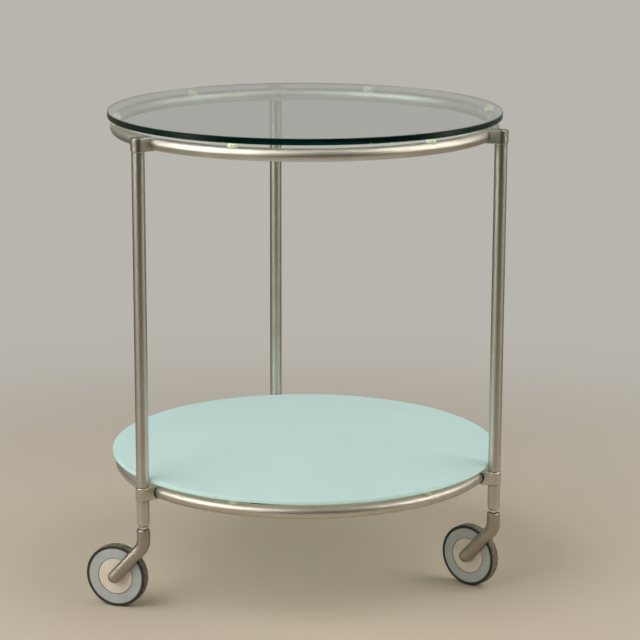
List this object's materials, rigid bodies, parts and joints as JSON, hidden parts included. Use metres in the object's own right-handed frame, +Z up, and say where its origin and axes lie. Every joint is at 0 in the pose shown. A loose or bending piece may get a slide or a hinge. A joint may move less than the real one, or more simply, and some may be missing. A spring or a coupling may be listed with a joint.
{
  "type": "rolling side table",
  "caption": "Round side table with a clear glass top and a frosted glass shelf on tube rings, carried by slim tube posts that end in bent-arm swivel casters.",
  "frame": {"origin": "floor point on the table's vertical axis, at the centre of both glass discs", "axes": "+Z up; +Y towards the back post; +X to the right of someone who faces the back post"},
  "size_m": [0.543, 0.5691, 0.612],
  "materials": {
    "clear_glass": "polished float glass, green at its edge",
    "frosted_glass": "back-painted satin glass, pale mint",
    "satin_nickel": "satin nickel plate",
    "bright_steel": "polished",
    "zinc_plated_steel": "zinc plate",
    "clear_silicone": "clear, slightly yellowed",
    "nylon": "natural nylon",
    "grey_plastic": "moulded satin",
    "cap_plastic": "moulded satin",
    "tyre_rubber": "matt, dusty tread"
  },
  "bodies": {
    "frame": {"top_glass": "clear_glass", "shelf_glass": "frosted_glass", "top_ring": "satin_nickel", "shelf_ring": "satin_nickel", "top_pads": "clear_silicone", "shelf_pads": "clear_silicone", "ring_screws": "zinc_plated_steel", "joining_studs": "zinc_plated_steel", "post_plugs": "zinc_plated_steel", "foot_plugs": "zinc_plated_steel", "top_bracket_left": "satin_nickel", "top_bracket_right": "satin_nickel", "top_bracket_back": "satin_nickel", "shelf_bracket_left": "satin_nickel", "shelf_bracket_right": "satin_nickel", "shelf_bracket_back": "satin_nickel", "post_left": "satin_nickel", "post_right": "satin_nickel", "post_back": "satin_nickel", "foot_left": "satin_nickel", "foot_right": "satin_nickel", "foot_back": "satin_nickel", "stem_bush_left": "nylon", "stem_bush_right": "nylon", "stem_bush_back": "nylon"},
    "caster_left": {"stem_left": "bright_steel", "stem_clip_left": "zinc_plated_steel", "arm_left": "satin_nickel", "axle_left": "zinc_plated_steel", "axle_clip_left": "zinc_plated_steel"},
    "rolling_wheel_left": {"wheel_left": "grey_plastic", "wheel_bush_left": "nylon", "tyre_left": "tyre_rubber", "near_cap_left": "cap_plastic", "far_cap_left": "cap_plastic"},
    "caster_right": {"stem_right": "bright_steel", "stem_clip_right": "zinc_plated_steel", "arm_right": "satin_nickel", "axle_right": "zinc_plated_steel", "axle_clip_right": "zinc_plated_steel"},
    "rolling_wheel_right": {"wheel_right": "grey_plastic", "wheel_bush_right": "nylon", "tyre_right": "tyre_rubber", "near_cap_right": "cap_plastic", "far_cap_right": "cap_plastic"},
    "caster_back": {"stem_back": "bright_steel", "stem_clip_back": "zinc_plated_steel", "arm_back": "satin_nickel", "axle_back": "zinc_plated_steel", "axle_clip_back": "zinc_plated_steel"},
    "rolling_wheel_back": {"wheel_back": "grey_plastic", "wheel_bush_back": "nylon", "tyre_back": "tyre_rubber", "near_cap_back": "cap_plastic", "far_cap_back": "cap_plastic"}
  },
  "joints": [
    {"name": "swivel_left", "type": "hinge", "parent": "frame", "child": "caster_left", "pos_m": [-0.22404, -0.12935, 0.1055], "axis": [0, 0, 1], "continuous": true},
    {"name": "roll_left", "type": "hinge", "parent": "caster_left", "child": "rolling_wheel_left", "pos_m": [-0.25544, -0.10451, 0.04], "axis": [0.4848, 0.8746, 0], "continuous": true},
    {"name": "swivel_right", "type": "hinge", "parent": "frame", "child": "caster_right", "pos_m": [0.22404, -0.12935, 0.1055], "axis": [0, 0, 1], "continuous": true},
    {"name": "roll_right", "type": "hinge", "parent": "caster_right", "child": "rolling_wheel_right", "pos_m": [0.20244, -0.09565, 0.04], "axis": [0.7431, 0.6691, 0], "continuous": true},
    {"name": "swivel_back", "type": "hinge", "parent": "frame", "child": "caster_back", "pos_m": [0, 0.2587, 0.1055], "axis": [0, 0, 1], "continuous": true},
    {"name": "roll_back", "type": "hinge", "parent": "caster_back", "child": "rolling_wheel_back", "pos_m": [-0.02608, 0.28907, 0.04], "axis": [0.6428, 0.766, 0], "continuous": true}
  ]
}
